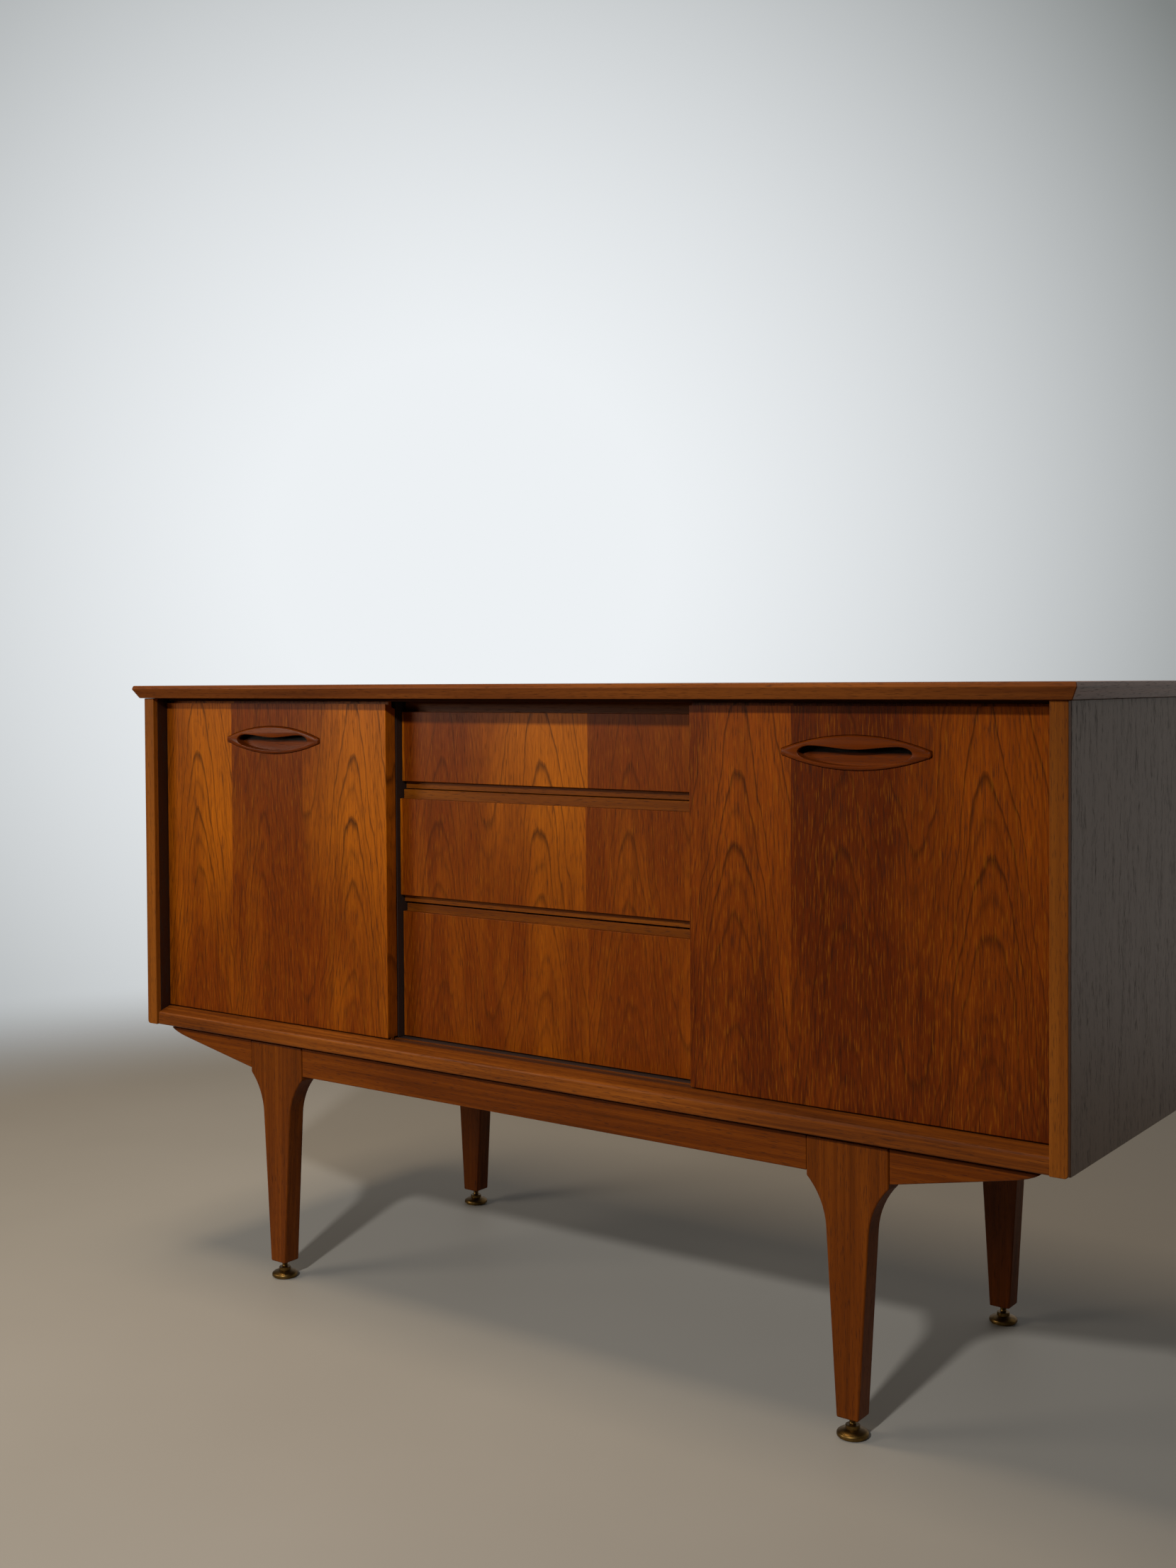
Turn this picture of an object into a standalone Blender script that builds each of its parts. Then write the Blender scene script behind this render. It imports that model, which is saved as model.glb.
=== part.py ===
"""A low teak sideboard: two sliding doors, a bank of three drawers, and a legged frame.

Metres, +Z up. The front faces -Y, and the origin is on the floor under the middle of
the top. Each sub-part is its own object, and what moves hangs from an empty.
"""
import math

import bmesh
import bpy
from mathutils import Vector

for old in list(bpy.data.objects):
    bpy.data.objects.remove(old)

# ---------------------------------------------------------------- driving dimensions
GAP = 0.0003                # between pieces that touch
HEIGHT = 0.797              # floor to the top surface
TOP_WIDTH = 1.372
TOP_THICKNESS = 0.0174
TOP_FRONT_OVERHANG = 0.0118
TOP_SIDE_OVERHANG = 0.013
TOP_EDGE_WIDTH = 0.022      # solid edging mitred round the top board
EDGE_CHAMFER = 0.0015       # how far the nose stands out past the upper arris
EDGE_NOSE_DROP = 0.0047     # upper arris down to the nose
EDGE_UNDERCUT = 0.0075      # how far the underside stands in from the nose

CARCASS_DEPTH = 0.452
CARCASS_HEIGHT = 0.460
PANEL = 0.019               # side panels
LIPPING_DEPTH = 0.008       # solid lipping on the side panels' front edges
LIPPING_ROUND = 0.004
BACK_THICKNESS = 0.005
BACK_INSET = 0.001
BACK_REBATE = 0.006
BOTTOM_THICKNESS = 0.018
SILL_HEIGHT = 0.0234        # moulded rail that carries the doors
SILL_SETBACK = 0.0025
SILL_UNDER_DIVIDERS = 0.001  # how far it reaches in under their front edges
SILL_NOSE_HEIGHT = 0.0165
SILL_BEVEL_DEPTH = 0.0185
SILL_EASE = 0.0015          # how far its front arrises are eased

DIVIDER = 0.015
DRAWER_BAY = 0.4603         # clear width between the dividers
BAY_SHIFT = -0.0031         # the bay's middle stands this far left of the top's
DIVIDER_CLEARANCE = 0.0016  # behind the doors
SHELF = 0.015
SHELF_HEIGHT = 0.218        # cupboard floor to the shelf's underside
SHELF_SETBACK = 0.0165      # behind the dividers' front edges
SHELF_BACK_CLEARANCE = 0.006
HOUSING = 0.005             # how deep a shelf end is let in

DOOR_THICKNESS = 0.018
DOOR_SETBACK = 0.0239
DOOR_FOOT_CLEARANCE = 0.0016
DOOR_FOOT_RELIEF = 0.0006   # the back shoulder of the foot stands this much higher
DOOR_HEAD_CLEARANCE = 0.007
DOOR_SIDE_CLEARANCE = 0.0008
DOOR_TOP_FALL = 0.0064      # the door's top edge slopes down to its back by this
DOOR_TONGUE = 0.006
DOOR_TONGUE_TOP = 0.0034    # how far the tongue goes up past the top's underside
DOOR_LOWER_TONGUE = 0.005
DOOR_TONGUE_FOOT = 0.0035   # how far the lower tongue goes down into the sill

TRACK_WALL = 0.0012
TRACK_CLEARANCE = 0.001
TRACK_DEPTH = 0.009         # into the top: a lifted door clears the lower track
TRACK_DROP = 0.0039         # how far the upper track hangs under the top
LOWER_TRACK_DEPTH = 0.006   # into the sill, with its mouth flush

HANDLE_LENGTH = 0.176
HANDLE_HEIGHT = 0.037
HANDLE_POINT = 0.008        # how much further each end would run to its point
HANDLE_PROUD = 0.0028
HANDLE_POCKET = 0.0113
HANDLE_FROM_INNER_EDGE = 0.206
HANDLE_FROM_DOOR_TOP = 0.0492
RECESS_LENGTH = 0.134
RECESS_FOOT = 0.0138        # the handle's middle down to the recess's lower edge
RECESS_FOOT_RISE = 0.0085   # how much higher that edge is at the ends
RECESS_SAG = 0.0036         # the lip above the handle's middle, where it sags
RECESS_CREST = 0.0070       # and where it is highest, towards each end
RECESS_CREST_AT = 0.77      # as a share of the half length
RECESS_DEPTH = 0.0096
FINGER_LENGTH = 0.112
FINGER_HEIGHT = 0.019
FINGER_LIP = 0.0036         # thickness of wood left in front of the finger pocket

DRAWER_FACE_CLEAR = 0.0115   # the faces stand this far behind the doors
DRAWER_FACE = 0.0075
DRAWER_FRONT = 0.012
DRAWER_FACE_CLEARANCE = 0.001
DRAWER_HEAD_DROP = 0.0175   # the top's underside down to the first face
DRAWER_FACE_HEIGHTS = {"top": 0.0891, "middle": 0.1240}  # the bottom one fills the rest
DRAWER_FINGER_GAPS = {"top": 0.0222, "middle": 0.0213}   # under each of these faces
DRAWER_FOOT_CLEARANCE = 0.0016
BOARD_HEAD_DROP = 0.0044    # the top's underside down to the first front board
BOARD_UNDER_FACE = {"top": 0.0096, "middle": 0.0091, "bottom": 0.0}
BOARD_OVER_FACE = {"middle": 0.0116, "bottom": 0.0099}
DRAWER_AJAR = {"top": 0.0, "middle": 0.0045, "bottom": 0.0}
DRAWER_SIDE = 0.010
DRAWER_SIDE_CLEARANCE = 0.0012
DRAWER_BACK = 0.010
DRAWER_BOTTOM = 0.004
DRAWER_BOTTOM_RISE = 0.008
DRAWER_GROOVE = 0.005
DRAWER_BACK_CLEARANCE = 0.0205
DRAWER_TOP_FALL = 0.010     # the sides' top edge below the front board's
RUNNER_WIDTH = 0.014
RUNNER_HEIGHT = 0.018
RUNNER_CLEARANCE = 0.0006
RUNNER_SETBACK = 0.0345     # behind the dividers' front edges
RUNNER_BACK_CLEARANCE = 0.008

FRAME_TOP_CLEARANCE = 0.0040  # shadow line between the carcass and the frame
FRAME_RAIL_HEIGHT = 0.0375
FRAME_RAIL_THICKNESS = 0.022
FRAME_RAIL_SETBACK = 0.001
LEG_SPREAD = 0.8566         # leg centre to leg centre, along the front
LEG_SETBACK = 0.0135
LEG_THICKNESS = 0.026
LEG_HEAD_WIDTH = 0.0966
LEG_HEAD_HEIGHT = 0.0426
LEG_FOOT_WIDTH = 0.026
LEG_CURVE_RADIUS = 0.080
LEG_CURVE_START = 135.0     # degrees round the curve's centre
LEG_CURVE_END = 176.5
LEG_FOOT_HEIGHT = 0.0215
CROSS_RAIL_THICKNESS = 0.022
CROSS_RAIL_HEIGHT = 0.0345
CROSS_RAIL_STEP_CLEARANCE = 0.002
BRACKET_LENGTH = 0.163
BRACKET_THICKNESS = 0.022
BRACKET_SETBACK = 0.001
BRACKET_NOSE_LENGTH = 0.035
BRACKET_NOSE_HEIGHT = 0.012
BRACKET_NOSE_PULL = 0.22    # where along the nose its curve turns up
BRACKET_NOSE_STEPS = 6

GLIDE_RADIUS = 0.0176
GLIDE_RIM = 0.0026
GLIDE_DOME = 0.0084
GLIDE_EDGE = 0.0012         # how far the rim tucks in at the floor
GLIDE_COLLAR_RADIUS = 0.006
GLIDE_COLLAR_TOP = 0.0145
STEM_RADIUS = 0.004
STEM_BORE_CLEARANCE = 0.0004
STEM_LENGTH = 0.040         # collar to the stem's upper end
BORE_SPARE = 0.010          # bore left above the stem

# ---------------------------------------------------------------- what follows from them
FRONT = (TOP_FRONT_OVERHANG - CARCASS_DEPTH) / 2   # the side panels' front edge
BACK = FRONT + CARCASS_DEPTH
UNDERSIDE = HEIGHT - TOP_THICKNESS                 # of the top
SIDE_TOP = UNDERSIDE - GAP
SIDE_FOOT = UNDERSIDE - CARCASS_HEIGHT
SIDE_OUTER = TOP_WIDTH / 2 - TOP_SIDE_OVERHANG
SIDE_INNER = SIDE_OUTER - PANEL
FLOOR = SIDE_FOOT + SILL_HEIGHT                    # top of the sill and the bottom panel
BAY_HALF = DRAWER_BAY / 2
BAY_LEFT = BAY_SHIFT - BAY_HALF
BAY_RIGHT = BAY_SHIFT + BAY_HALF
BACK_FACE = BACK - BACK_INSET - BACK_THICKNESS
DOOR_FRONT = FRONT + DOOR_SETBACK
DOOR_BACK = DOOR_FRONT + DOOR_THICKNESS
DIVIDER_FRONT = DOOR_BACK + DIVIDER_CLEARANCE
SILL_BACK = DIVIDER_FRONT + SILL_UNDER_DIVIDERS
DOOR_FOOT = FLOOR + DOOR_FOOT_CLEARANCE
DOOR_HEAD = UNDERSIDE - DOOR_HEAD_CLEARANCE
TRACK_CENTRE = DOOR_FRONT + DOOR_THICKNESS / 2
FRAME_TOP = SIDE_FOOT - FRAME_TOP_CLEARANCE
LEG_X = LEG_SPREAD / 2

PARTS = bpy.data.collections.new("sideboard")
CUTTERS = bpy.data.collections.new("cutters")
bpy.context.scene.collection.children.link(PARTS)
bpy.context.scene.collection.children.link(CUTTERS)


# ---------------------------------------------------------------- materials
def material(name, colour, roughness, metallic=0.0):
    made = bpy.data.materials.new(name)
    made.use_nodes = True
    shader = made.node_tree.nodes["Principled BSDF"]
    shader.inputs["Base Color"].default_value = (*colour, 1.0)
    shader.inputs["Roughness"].default_value = roughness
    shader.inputs["Metallic"].default_value = metallic
    return made


TEAK_VENEER = material("teak_veneer", (0.36, 0.12, 0.03), 0.38)
TEAK_SOLID = material("teak_solid", (0.33, 0.12, 0.035), 0.42)
SIDE_VENEER = material("side_veneer", (0.16, 0.10, 0.07), 0.5)
INNER_VENEER = material("inner_veneer", (0.24, 0.11, 0.05), 0.55)
DRAWER_WOOD = material("drawer_wood", (0.50, 0.33, 0.18), 0.6)
PLYWOOD = material("plywood", (0.46, 0.30, 0.16), 0.65)
TRACK = material("track", (0.12, 0.09, 0.07), 0.5)
BRASS = material("brass", (0.45, 0.35, 0.18), 0.4, 1.0)


# ---------------------------------------------------------------- making shapes
def add(name, data, finish, collection=PARTS):
    made = bpy.data.objects.new(name, data)
    if finish:
        data.materials.append(finish)
    collection.objects.link(made)
    return made


def box(name, low, high, finish, collection=PARTS):
    """A board from its lowest to its highest corner, with its origin at its middle."""
    bm = bmesh.new()
    bmesh.ops.create_cube(bm, size=1.0)
    bmesh.ops.scale(bm, vec=[h - l for l, h in zip(low, high)], verts=bm.verts)
    mesh = bpy.data.meshes.new(name)
    bm.to_mesh(mesh)
    bm.free()
    made = add(name, mesh, finish, collection)
    made.location = [(l + h) / 2 for l, h in zip(low, high)]
    return made


def mirrored(low, high, side):
    """The same two corners, on the left (side -1) or on the right (side 1)."""
    if side > 0:
        return low, high
    return (-high[0], low[1], low[2]), (-low[0], high[1], high[2])


TURNS = {  # how an outline lies: its own axes and the axis that it is extruded along
    "xz": (math.pi / 2, 0, 0),
    "yz": (math.pi / 2, 0, math.pi / 2),
    "xy": (0, 0, 0),
}


def board(name, outline, plane, start, end, finish, collection=PARTS):
    """A flat outline extruded from start to end along the axis that its plane lacks."""
    curve = bpy.data.curves.new(name, "CURVE")
    curve.dimensions = "2D"
    curve.fill_mode = "BOTH"
    curve.extrude = (end - start) / 2
    spline = curve.splines.new("POLY")
    spline.points.add(len(outline) - 1)
    for point, (a, b) in zip(spline.points, outline):
        point.co = (a, b, 0, 1)
    spline.use_cyclic_u = True
    made = add(name, curve, finish, collection)
    made.rotation_euler = TURNS[plane]
    axis = {"xz": 1, "yz": 0, "xy": 2}[plane]
    made.location[axis] = (start + end) / 2
    return made


def as_mesh(curved):
    """The same piece as a mesh with its caps welded, so that it can be cut."""
    bpy.context.view_layer.update()
    graph = bpy.context.evaluated_depsgraph_get()
    mesh = bpy.data.meshes.new_from_object(curved.evaluated_get(graph))
    bm = bmesh.new()
    bm.from_mesh(mesh)
    bmesh.ops.remove_doubles(bm, verts=bm.verts, dist=1e-6)
    bmesh.ops.recalc_face_normals(bm, faces=bm.faces)
    bm.to_mesh(mesh)
    bm.free()
    name = curved.name
    matrix = curved.matrix_world.copy()
    home = curved.users_collection[0]
    bpy.data.objects.remove(curved)
    made = bpy.data.objects.new(name, mesh)
    home.objects.link(made)
    made.matrix_world = matrix
    return made


def cut(piece, cutter):
    cutter.hide_render = True
    cutter.display_type = "WIRE"
    step = piece.modifiers.new(cutter.name, "BOOLEAN")
    step.operation = "DIFFERENCE"
    step.solver = "EXACT"
    step.object = cutter


def turned(name, profile, steps, finish, collection=PARTS):
    """A solid of revolution about Z from a profile of (radius, height), top to bottom."""
    bm = bmesh.new()
    points = [bm.verts.new((r, 0, z)) for r, z in profile]
    for a, b in zip(points, points[1:]):
        bm.edges.new((a, b))
    mesh = bpy.data.meshes.new(name)
    bm.to_mesh(mesh)
    bm.free()
    made = add(name, mesh, finish, collection)
    spin = made.modifiers.new("turn", "SCREW")
    spin.steps = steps
    spin.render_steps = steps
    spin.use_merge_vertices = True
    spin.merge_threshold = 0.00001
    return made


def hang(mover, *pieces):
    """Parents pieces to the empty that moves them, without moving them."""
    for piece in pieces:
        piece.parent = mover
        piece.location = piece.location - mover.location


def mover(name, place):
    made = bpy.data.objects.new(name, None)
    made.location = place
    PARTS.objects.link(made)
    return made


def arc(centre, radius, start, end, steps):
    """Points round a centre from one angle to another, in degrees."""
    angles = [math.radians(start + (end - start) * i / steps) for i in range(steps + 1)]
    return [(centre[0] + radius * math.cos(a), centre[1] + radius * math.sin(a)) for a in angles]


# ---------------------------------------------------------------- the top
def edging_profile(outward):
    """The edging's section as (distance from the middle, height); outward is its nose."""
    inner = outward - TOP_EDGE_WIDTH
    return [
        (inner, UNDERSIDE),
        (outward - EDGE_UNDERCUT, UNDERSIDE),
        (outward, HEIGHT - EDGE_NOSE_DROP),
        (outward - EDGE_CHAMFER, HEIGHT),
        (inner, HEIGHT),
    ]


def mitre(piece, corner, normal):
    """Cuts a strip off square to normal at corner, and closes the cut."""
    bm = bmesh.new()
    bm.from_mesh(piece.data)
    inverse = piece.matrix_world.inverted()
    at = inverse @ corner
    facing = inverse.to_3x3() @ normal
    cut_parts = bmesh.ops.bisect_plane(
        bm,
        geom=bm.verts[:] + bm.edges[:] + bm.faces[:],
        plane_co=at,
        plane_no=facing,
        clear_outer=True,
    )
    edges = [part for part in cut_parts["geom_cut"] if isinstance(part, bmesh.types.BMEdge)]
    bmesh.ops.holes_fill(bm, edges=edges)
    bmesh.ops.recalc_face_normals(bm, faces=bm.faces)
    bm.to_mesh(piece.data)
    bm.free()


def make_top():
    nose_x = TOP_WIDTH / 2
    nose_y = FRONT - TOP_FRONT_OVERHANG
    core_x = nose_x - TOP_EDGE_WIDTH - GAP
    core_y = nose_y + TOP_EDGE_WIDTH + GAP
    groove = DOOR_TONGUE / 2 + TRACK_CLEARANCE + TRACK_WALL + GAP
    top = box("top_board", (-core_x, core_y, UNDERSIDE), (core_x, BACK, HEIGHT), TEAK_VENEER)
    track_bed = box(
        "track_bed",
        (-SIDE_INNER, TRACK_CENTRE - groove, UNDERSIDE - TRACK_DROP),
        (SIDE_INNER, TRACK_CENTRE + groove, UNDERSIDE + TRACK_DEPTH),
        None,
        CUTTERS,
    )
    cut(top, track_bed)
    front = board(
        "top_edge_front",
        [(-reach, z) for reach, z in edging_profile(-nose_y)],
        "yz",
        -nose_x,
        nose_x,
        TEAK_SOLID,
    )
    front = as_mesh(front)
    for side in (-1, 1):
        corner = Vector((side * (nose_x - GAP / 2), nose_y, HEIGHT))
        mitre(front, corner, Vector((side, 1, 0)).normalized())
    for name, side in (("left", -1), ("right", 1)):
        edge = board(
            f"top_edge_{name}",
            [(side * reach, z) for reach, z in edging_profile(nose_x)],
            "xz",
            nose_y,
            BACK,
            TEAK_SOLID,
        )
        edge = as_mesh(edge)
        corner = Vector((side * nose_x, nose_y + GAP / 2, HEIGHT))
        mitre(edge, corner, Vector((-side, -1, 0)).normalized())


# ---------------------------------------------------------------- the carcass
def make_side(name, side):
    """A veneered side panel, rebated for the back and housed for the shelf, and its lipping."""
    lip_back = FRONT + LIPPING_DEPTH
    outline = [
        (side * SIDE_OUTER, lip_back + GAP),
        (side * SIDE_OUTER, BACK),
        (side * (SIDE_INNER + BACK_REBATE), BACK),
        (side * (SIDE_INNER + BACK_REBATE), BACK_FACE - GAP),
        (side * SIDE_INNER, BACK_FACE - GAP),
        (side * SIDE_INNER, lip_back + GAP),
    ]
    panel = as_mesh(
        board(f"side_panel_{name}", outline, "xy", SIDE_FOOT, SIDE_TOP, SIDE_VENEER)
    )
    cut(panel, shelf_housing(f"side_housing_{name}", side, SIDE_INNER, HOUSING))
    corner = (SIDE_OUTER - LIPPING_ROUND, SIDE_FOOT + LIPPING_ROUND)
    lipping = [(SIDE_INNER, SIDE_FOOT)]
    lipping += arc(corner, LIPPING_ROUND, -90, 0, 4)
    lipping += [(SIDE_OUTER, SIDE_TOP), (SIDE_INNER, SIDE_TOP)]
    board(
        f"side_lipping_{name}",
        [(side * x, z) for x, z in lipping],
        "xz",
        FRONT,
        lip_back,
        TEAK_SOLID,
    )


def shelf_housing(name, side, face, depth):
    """The groove that a shelf end sits in. depth is signed: which way from the face."""
    near, far = sorted((face - math.copysign(GAP, depth), face + depth))
    low = (near, DIVIDER_FRONT + SHELF_SETBACK - GAP, FLOOR + SHELF_HEIGHT - GAP)
    high = (far, BACK_FACE - SHELF_BACK_CLEARANCE + GAP, FLOOR + SHELF_HEIGHT + SHELF + GAP)
    return box(name, *mirrored(low, high, side), None, CUTTERS)


def make_inside(name, side):
    """A divider beside the drawers, and the shelf between it and the side panel."""
    inner = BAY_HALF + side * BAY_SHIFT
    outer = inner + DIVIDER
    low = (inner, DIVIDER_FRONT, FLOOR + GAP)
    high = (outer, BACK_FACE - GAP, SIDE_TOP)
    divider = box(f"divider_{name}", *mirrored(low, high, side), INNER_VENEER)
    cut(divider, shelf_housing(f"divider_housing_{name}", side, outer, -HOUSING))
    reach = HOUSING - GAP
    low = (outer - reach, DIVIDER_FRONT + SHELF_SETBACK, FLOOR + SHELF_HEIGHT)
    high = (SIDE_INNER + reach, BACK_FACE - SHELF_BACK_CLEARANCE, FLOOR + SHELF_HEIGHT + SHELF)
    box(f"shelf_{name}", *mirrored(low, high, side), INNER_VENEER)


def make_carcass():
    for name, side in (("left", -1), ("right", 1)):
        make_side(name, side)
        make_inside(name, side)
    inner = SIDE_INNER - GAP
    sill_front = FRONT + SILL_SETBACK
    nose = SIDE_FOOT + SILL_NOSE_HEIGHT
    groove = DOOR_TONGUE / 2 + TRACK_CLEARANCE + TRACK_WALL + GAP
    bed = FLOOR - LOWER_TRACK_DEPTH - GAP
    sill = [
        (sill_front + SILL_EASE, SIDE_FOOT),
        (SILL_BACK, SIDE_FOOT),
        (SILL_BACK, FLOOR),
        (TRACK_CENTRE + groove, FLOOR),
        (TRACK_CENTRE + groove, bed),
        (TRACK_CENTRE - groove, bed),
        (TRACK_CENTRE - groove, FLOOR),
        (sill_front + SILL_BEVEL_DEPTH, FLOOR),
        (sill_front + SILL_EASE, nose + SILL_EASE),
        (sill_front, nose - SILL_EASE),
        (sill_front, SIDE_FOOT + SILL_EASE),
    ]
    board("bottom_rail", sill, "yz", -inner, inner, TEAK_SOLID)
    box(
        "bottom_panel",
        (-inner, SILL_BACK + GAP, FLOOR - BOTTOM_THICKNESS),
        (inner, BACK_FACE - GAP, FLOOR),
        INNER_VENEER,
    )
    reach = SIDE_INNER + BACK_REBATE - GAP
    box(
        "back_panel",
        (-reach, BACK_FACE, FLOOR - BOTTOM_THICKNESS),
        (reach, BACK - BACK_INSET, SIDE_TOP),
        PLYWOOD,
    )


def channel(mouth, bed):
    """A U-shaped track's outline. Its open edge is at mouth, and its closed one at bed."""
    slot = DOOR_TONGUE / 2 + TRACK_CLEARANCE
    wide = slot + TRACK_WALL
    inside = bed + math.copysign(TRACK_WALL, mouth - bed)
    outline = [
        (-wide, mouth),
        (-slot, mouth),
        (-slot, inside),
        (slot, inside),
        (slot, mouth),
        (wide, mouth),
        (wide, bed),
        (-wide, bed),
    ]
    return [(TRACK_CENTRE + y, z) for y, z in outline]


def make_tracks():
    """The channels in the top and in the sill that the doors' tongues run in."""
    inner = SIDE_INNER - GAP
    upper = channel(UNDERSIDE - TRACK_DROP, UNDERSIDE + TRACK_DEPTH - GAP)
    board("upper_track", upper, "yz", -inner, inner, TRACK)
    lower = channel(FLOOR, FLOOR - LOWER_TRACK_DEPTH)
    board("lower_track", lower, "yz", -inner, inner, TRACK)


# ---------------------------------------------------------------- the sliding doors
def lens(length, height, spare=0.0, steps=14):
    """An eye-shaped outline: two equal arcs, cut off square short of where they meet."""
    half = length / 2 + HANDLE_POINT
    rise = height / 2
    radius = (half**2 + rise**2) / (2 * rise) + spare
    spread = math.degrees(math.asin((length / 2 + spare) / radius))
    upper = arc((0, rise + spare - radius), radius, 90 - spread, 90 + spread, steps)
    lower = arc((0, radius - rise - spare), radius, 270 - spread, 270 + spread, steps)
    return upper + lower


def handle_opening(steps=16):
    """The mouth of the finger recess: an upper lip that sags, and a bowed lower edge."""
    upper = []
    lower = []
    for i in range(steps + 1):
        t = math.cos(math.pi * i / steps)
        past = max(0.0, abs(t) - RECESS_CREST_AT) / (1 - RECESS_CREST_AT)
        wave = (1 - math.cos(math.pi * min(1, abs(t) / RECESS_CREST_AT))) / 2
        lip = RECESS_SAG + (RECESS_CREST - RECESS_SAG) * wave
        upper.append((RECESS_LENGTH / 2 * t, lip * math.sqrt(max(0.0, 1 - past**2))))
        lower.append((-RECESS_LENGTH / 2 * t, RECESS_FOOT_RISE * t**2 - RECESS_FOOT))
    return upper + lower


def ellipse(length, height, rise, steps=20):
    angles = [2 * math.pi * i / steps for i in range(steps)]
    return [(length / 2 * math.cos(a), rise + height / 2 * math.sin(a)) for a in angles]


def shifted(outline, x, z):
    return [(a + x, b + z) for a, b in outline]


def make_door(name, side, low_x, high_x):
    """A board with a tongue along its top and its foot, and with a handle let in."""
    front, back = DOOR_FRONT, DOOR_BACK
    tongue = DOOR_TONGUE / 2
    lower = DOOR_LOWER_TONGUE / 2
    back_foot = DOOR_FOOT + DOOR_FOOT_RELIEF
    fall = DOOR_TOP_FALL / DOOR_THICKNESS
    section = [
        (front, DOOR_FOOT),
        (TRACK_CENTRE - lower, DOOR_FOOT),
        (TRACK_CENTRE - lower, FLOOR - DOOR_TONGUE_FOOT),
        (TRACK_CENTRE + lower, FLOOR - DOOR_TONGUE_FOOT),
        (TRACK_CENTRE + lower, back_foot),
        (back, back_foot),
        (back, DOOR_HEAD - DOOR_TOP_FALL),
        (TRACK_CENTRE + tongue, DOOR_HEAD - fall * (TRACK_CENTRE + tongue - front)),
        (TRACK_CENTRE + tongue, UNDERSIDE + DOOR_TONGUE_TOP),
        (TRACK_CENTRE - tongue, UNDERSIDE + DOOR_TONGUE_TOP),
        (TRACK_CENTRE - tongue, DOOR_HEAD - fall * (TRACK_CENTRE - tongue - front)),
        (front, DOOR_HEAD),
    ]
    door = as_mesh(board(f"door_{name}", section, "yz", low_x, high_x, TEAK_VENEER))
    inner_edge = high_x if side < 0 else low_x
    centre = inner_edge + side * HANDLE_FROM_INNER_EDGE
    level = DOOR_HEAD - HANDLE_FROM_DOOR_TOP
    pocket = board(
        f"pocket_{name}",
        shifted(lens(HANDLE_LENGTH, HANDLE_HEIGHT, GAP), centre, level),
        "xz",
        front - HANDLE_PROUD,
        front + HANDLE_POCKET,
        None,
        CUTTERS,
    )
    cut(door, as_mesh(pocket))
    handle = board(
        f"handle_{name}",
        shifted(lens(HANDLE_LENGTH, HANDLE_HEIGHT), centre, level),
        "xz",
        front - HANDLE_PROUD,
        front + HANDLE_POCKET - GAP,
        TEAK_SOLID,
    )
    handle = as_mesh(handle)
    mouth = board(
        f"mouth_{name}",
        shifted(handle_opening(), centre, level),
        "xz",
        front - 2 * HANDLE_PROUD,
        front + RECESS_DEPTH,
        None,
        CUTTERS,
    )
    cut(handle, as_mesh(mouth))
    finger = board(
        f"finger_{name}",
        shifted(ellipse(FINGER_LENGTH, FINGER_HEIGHT, 0.0), centre, level),
        "xz",
        front - HANDLE_PROUD + FINGER_LIP,
        front + RECESS_DEPTH + GAP,
        None,
        CUTTERS,
    )
    cut(handle, as_mesh(finger))
    slide = mover(f"door_{name}_slide", ((low_x + high_x) / 2, TRACK_CENTRE, DOOR_FOOT))
    hang(slide, door, handle)


# ---------------------------------------------------------------- the drawers
def drawer_heights():
    """Each face's lower and upper edge, and those of the front board behind it."""
    found = {}
    high = UNDERSIDE - DRAWER_HEAD_DROP
    for name in DRAWER_AJAR:
        low = FLOOR + DRAWER_FOOT_CLEARANCE
        if name in DRAWER_FACE_HEIGHTS:
            low = high - DRAWER_FACE_HEIGHTS[name]
        board_high = UNDERSIDE - BOARD_HEAD_DROP
        if name in BOARD_OVER_FACE:
            board_high = high + BOARD_OVER_FACE[name]
        found[name] = (low, high), (low - BOARD_UNDER_FACE[name], board_high)
        high = low - DRAWER_FINGER_GAPS.get(name, 0)
    return found


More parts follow.
